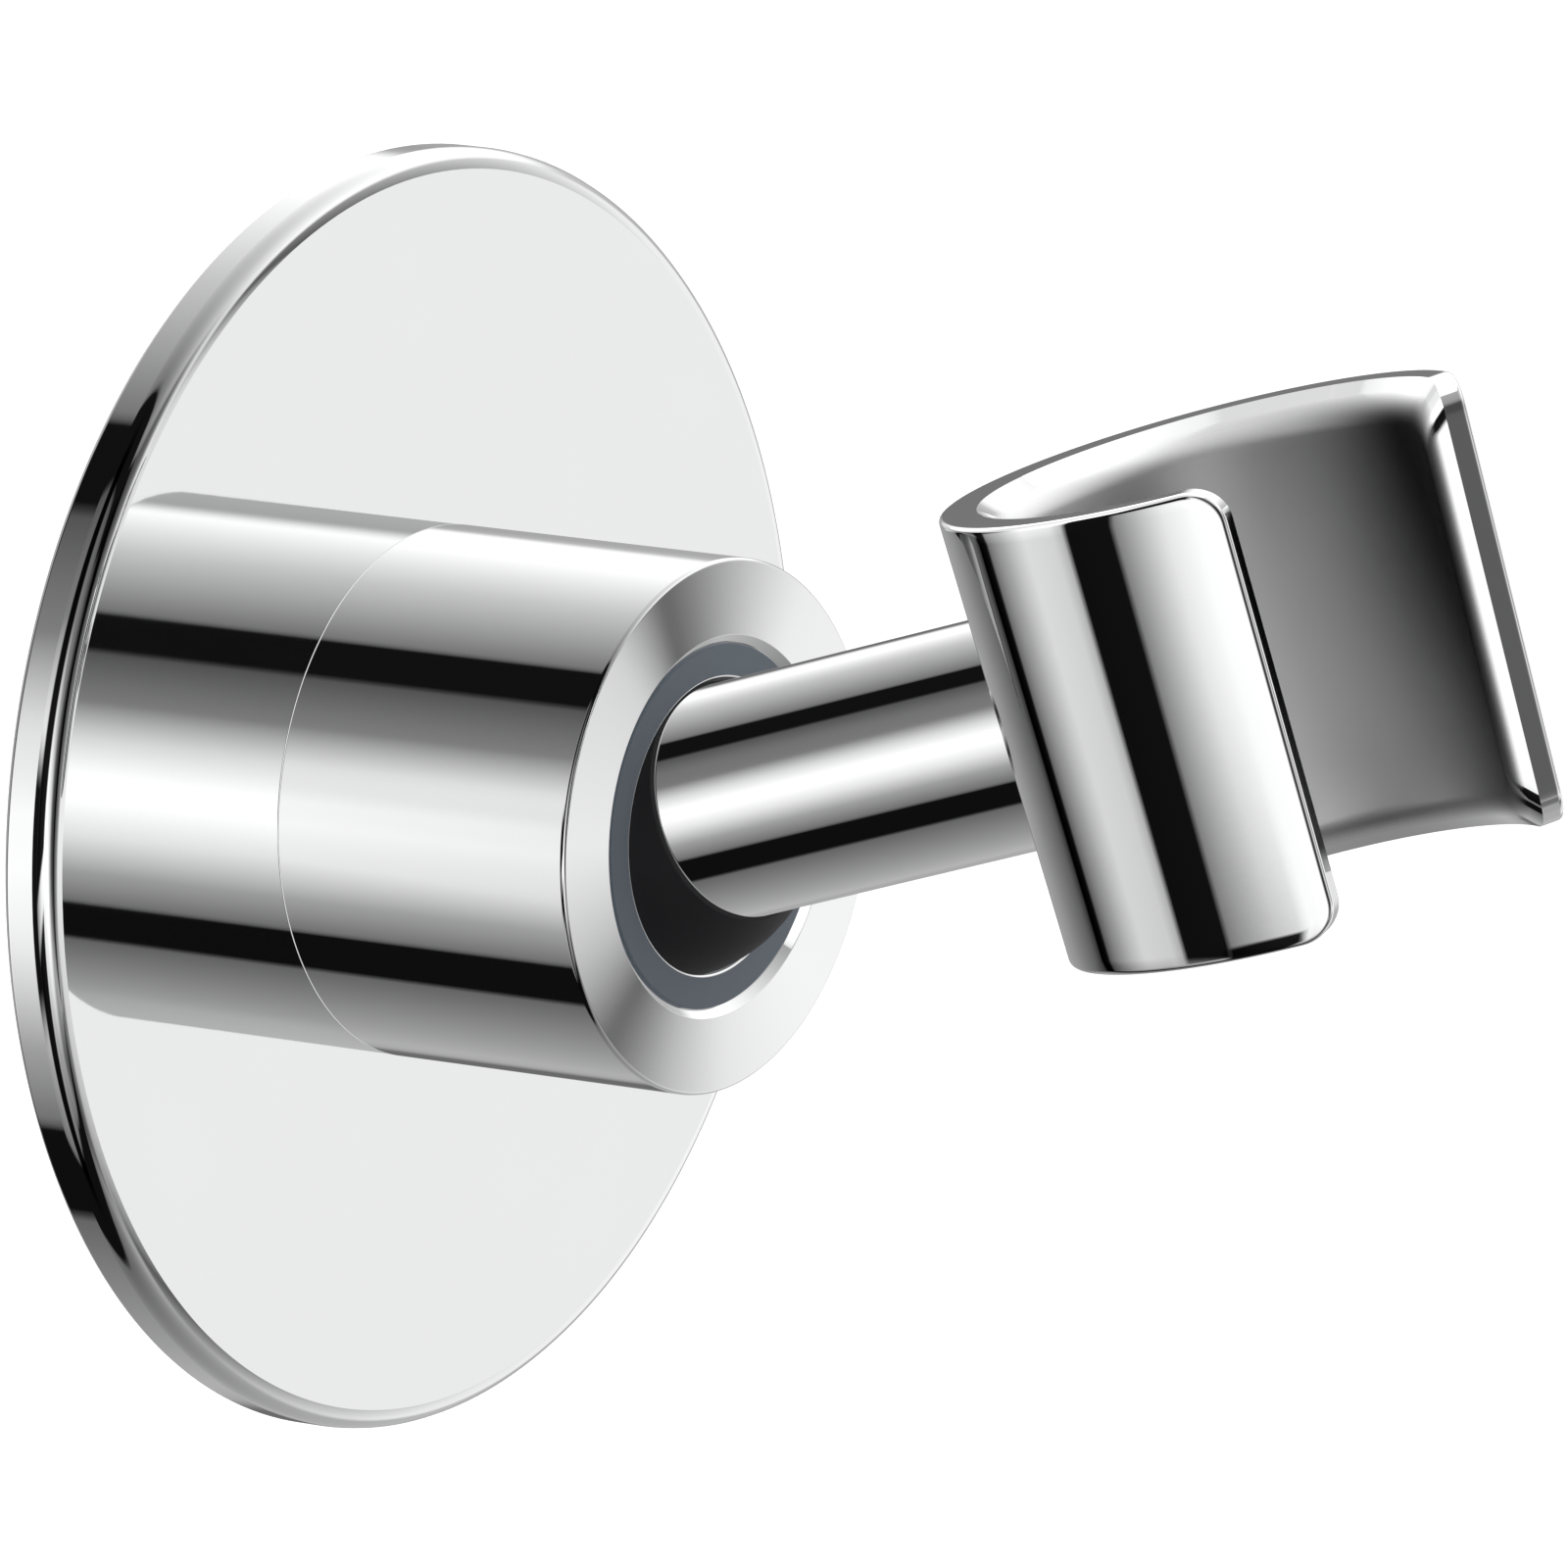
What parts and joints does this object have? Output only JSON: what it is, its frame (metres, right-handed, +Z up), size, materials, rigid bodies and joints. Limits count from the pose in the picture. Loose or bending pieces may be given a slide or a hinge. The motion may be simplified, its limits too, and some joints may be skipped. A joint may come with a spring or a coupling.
{
  "type": "hand shower holder",
  "caption": "Wall-mounted holder for a hand shower: a round plate and barrel carry a ball-jointed rod with an open C-shaped cradle that takes a tapered shower grip.",
  "frame": {"origin": "centre of the wall face, on the back of the adhesive pad", "axes": "+X out of the wall along the barrel, +Z up"},
  "size_m": [0.0772, 0.0742, 0.0742],
  "materials": {
    "chrome": "polished chrome plating",
    "seat_plastic": "slate grey moulded plastic, satin",
    "ball_plastic": "black low-friction plastic, satin",
    "cup_plastic": "natural white low-friction plastic",
    "spring_steel": "bright rolled spring steel",
    "screw_steel": "stainless steel",
    "plug_brass": "turned brass",
    "pad_foam": "closed-cell foam with adhesive on both faces"
  },
  "bodies": {
    "housing": {"adhesive_pad": "pad_foam", "wall_plate": "chrome", "plate_screw": "screw_steel", "base_plug": "plug_brass", "barrel": "chrome", "seat_ring": "seat_plastic", "disc_spring": "spring_steel"},
    "cup": {"rear_cup": "cup_plastic", "thrust_washer": "spring_steel"},
    "ball": {"ball": "ball_plastic"},
    "arm": {"rod": "chrome", "swivel_washer": "spring_steel", "swivel_spring": "spring_steel", "lock_nut": "screw_steel", "cradle": "chrome", "cradle_screw": "screw_steel"}
  },
  "joints": [
    {"name": "arm_orbit", "type": "hinge", "parent": "housing", "child": "cup", "pos_m": [0.02013, 0, 0], "axis": [1, 0, 0], "continuous": true},
    {"name": "arm_tilt", "type": "hinge", "parent": "cup", "child": "ball", "pos_m": [0.02013, 0, 0], "axis": [0, -0.9305, -0.3663], "range_deg": [-37.06, 0]},
    {"name": "arm_roll", "type": "hinge", "parent": "ball", "child": "arm", "pos_m": [0.02013, 0, 0], "axis": [0.9482, -0.1164, 0.2957], "continuous": true}
  ]
}
